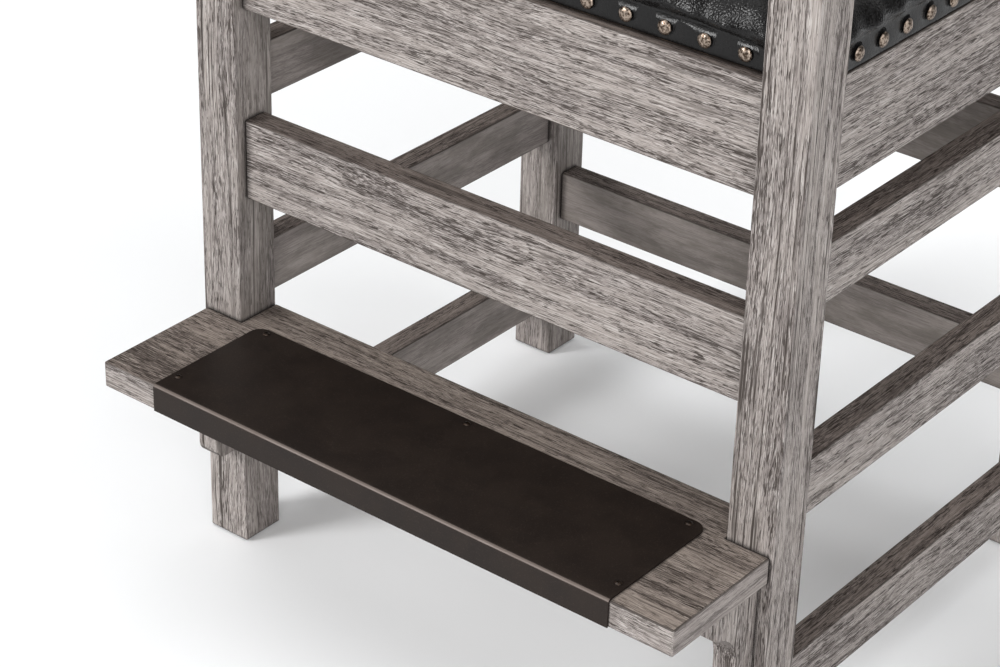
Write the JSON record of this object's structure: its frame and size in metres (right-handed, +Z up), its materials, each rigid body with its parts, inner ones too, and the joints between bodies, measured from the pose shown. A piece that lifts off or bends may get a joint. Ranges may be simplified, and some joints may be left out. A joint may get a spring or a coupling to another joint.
{
  "type": "bar stool",
  "caption": "Square-framed wooden bar stool with arms, padded leather seat and back, and a projecting footrest board clad in sheet metal on curved brackets.",
  "frame": {"origin": "on the floor, in the middle of the stool's overall footprint (footrest front to rear posts, arm edge to arm edge)", "axes": "+Z up; the seat and footrest face -Y; +X is to the right of someone who stands in front and faces the stool"},
  "size_m": [0.724, 0.7078, 1.195],
  "materials": {
    "limed_wood": "wire-brushed open-pore hardwood, limed warm grey over a brown ground, matt",
    "bronzed_sheet": "dark bronze coated sheet steel, satin",
    "bronzed_screw": "bronzed steel, satin",
    "zinc_screw": "zinc-plated steel",
    "plywood": "raw birch plywood",
    "softwood": "raw planed timber",
    "black_leather": "black pebble-grained leather, satin",
    "nylon": "moulded brown nylon"
  },
  "bodies": {
    "root": {"arm_left": "limed_wood", "arm_right": "limed_wood", "back_board": "limed_wood", "back_cushion": "black_leather", "corbel_left": "limed_wood", "corbel_right": "limed_wood", "corner_brace_front_left": "softwood", "corner_brace_front_right": "softwood", "corner_brace_rear_left": "softwood", "corner_brace_rear_right": "softwood", "crest_rail": "limed_wood", "foot_glide_front_left": "nylon", "foot_glide_front_right": "nylon", "foot_glide_rear_left": "nylon", "foot_glide_rear_right": "nylon", "footrest_board": "limed_wood", "front_apron": "limed_wood", "front_leg_left": "limed_wood", "front_leg_right": "limed_wood", "front_rail": "limed_wood", "kick_plate": "bronzed_sheet", "kick_plate_screw_front_left": "bronzed_screw", "kick_plate_screw_front_right": "bronzed_screw", "kick_plate_screw_rear_left": "bronzed_screw", "kick_plate_screw_rear_middle": "bronzed_screw", "kick_plate_screw_rear_right": "bronzed_screw", "lower_back_rail": "limed_wood", "rear_apron": "limed_wood", "rear_leg_left": "limed_wood", "rear_leg_right": "limed_wood", "rear_lower_rail": "limed_wood", "rear_upper_rail": "limed_wood", "seat_board": "plywood", "seat_cushion": "black_leather", "seat_screw_front_left": "zinc_screw", "seat_screw_front_right": "zinc_screw", "seat_screw_rear_left": "zinc_screw", "seat_screw_rear_right": "zinc_screw", "side_apron_left": "limed_wood", "side_apron_right": "limed_wood", "side_rail_high_left": "limed_wood", "side_rail_high_right": "limed_wood", "side_rail_low_left": "limed_wood", "side_rail_low_right": "limed_wood", "side_rail_middle_left": "limed_wood", "side_rail_middle_right": "limed_wood"}
  },
  "joints": []
}
